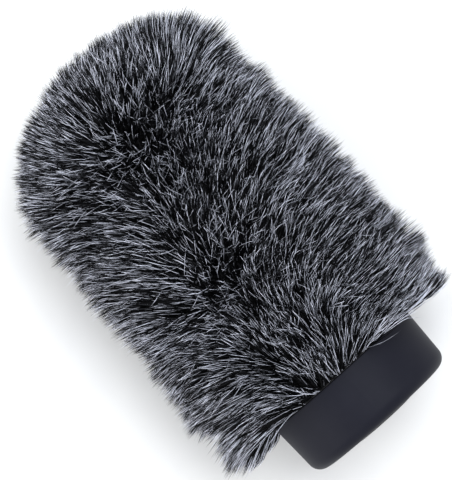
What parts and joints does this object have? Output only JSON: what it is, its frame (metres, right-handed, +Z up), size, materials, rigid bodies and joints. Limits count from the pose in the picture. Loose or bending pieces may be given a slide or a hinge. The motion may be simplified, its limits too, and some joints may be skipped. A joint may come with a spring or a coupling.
{
  "type": "furry windscreen",
  "caption": "Long-pile furry windscreen with a blunt domed nose over a foam body, on a round rubber base whose lipped bore slips over a short shotgun microphone.",
  "frame": {"origin": "on the axis of the microphone's bore, in the plane of the rubber base's end face", "axes": "+X out of the bore, the way the microphone leaves, so the nose points along -X; +Z up, with the flattened underside of the fur facing -Z; +Y completes the right hand"},
  "size_m": [0.16, 0.0966, 0.0918],
  "materials": {
    "base_rubber": "smooth satin moulded rubber",
    "grip_rubber": "soft matte rubber",
    "core_plastic": "matte black plastic",
    "foam": "open-cell foam",
    "knit_backing": "knitted polyester base cloth",
    "thread": "polyester sewing thread",
    "hem_tape": "woven binding tape",
    "band_nylon": "nylon strap",
    "fur_pile": "long salt-and-pepper artificial fur"
  },
  "bodies": {
    "root": {"base_ring": "base_rubber", "mic_grip": "grip_rubber", "core_flange": "core_plastic", "core_tube": "core_plastic", "core_cap": "core_plastic", "rear_foam_ring": "foam", "foam_sleeve": "foam", "foam_nose": "foam", "backing_side": "knit_backing", "backing_crown": "knit_backing", "side_seam": "knit_backing", "crown_seam": "knit_backing", "side_stitches": "thread", "crown_stitches": "thread", "hem_stitches": "thread", "hem_binding": "hem_tape", "retaining_band": "band_nylon", "retaining_band_lock": "band_nylon", "fur_side": "fur_pile", "fur_crown": "fur_pile"}
  },
  "joints": []
}
